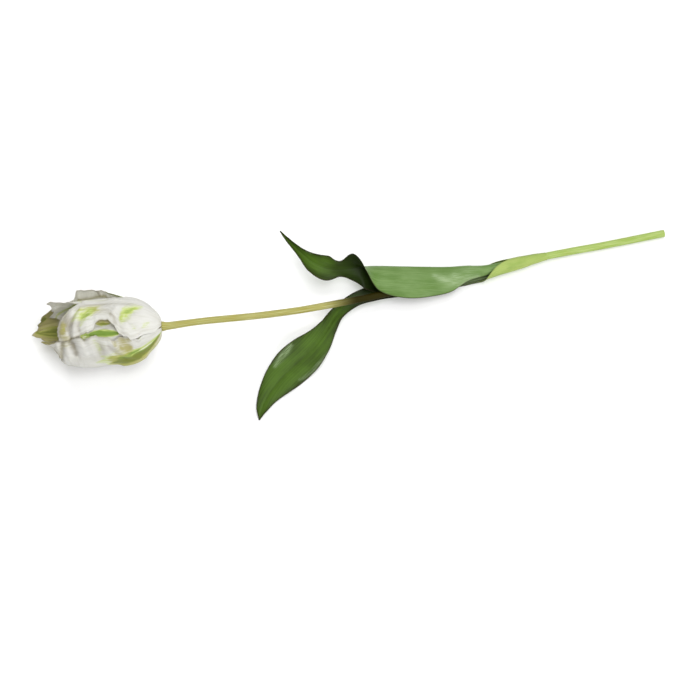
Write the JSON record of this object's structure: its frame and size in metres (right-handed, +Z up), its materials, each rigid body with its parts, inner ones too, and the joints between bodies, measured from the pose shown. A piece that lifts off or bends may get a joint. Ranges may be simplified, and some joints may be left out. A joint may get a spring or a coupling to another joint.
{
  "type": "parrot tulip",
  "caption": "Cut parrot tulip lying on a surface: fringed cup-shaped bloom on a long curved stem with a folded upper leaf and a sheathing lower leaf.",
  "frame": {"origin": "centre of the bounding box at the surface the flower lies on", "axes": "+X along the flower from the bloom to the cut end of the stem, +Y across to the side of the upper leaf's tip, +Z up"},
  "size_m": [0.5499, 0.156, 0.0565],
  "materials": {
    "stem": "smooth fresh stalk, olive yellow turning yellow-green to the cut end",
    "leaf": "waxy, dark green and glossy inside, paler and greyer outside, with fine lengthwise veins",
    "petal": "soft satin, white with green and olive flames and fringed edges",
    "pistil": "smooth pale green",
    "stamen": "dusty dark anthers on pale filaments"
  },
  "bodies": {
    "root": {"stem": "stem", "upper_leaf": "leaf", "lower_leaf": "leaf", "outer_petal_1": "petal", "outer_petal_2": "petal", "outer_petal_3": "petal", "inner_petal_1": "petal", "inner_petal_2": "petal", "inner_petal_3": "petal", "pistil": "pistil", "stamen_1": "stamen", "stamen_2": "stamen", "stamen_3": "stamen", "stamen_4": "stamen", "stamen_5": "stamen", "stamen_6": "stamen"}
  },
  "joints": []
}
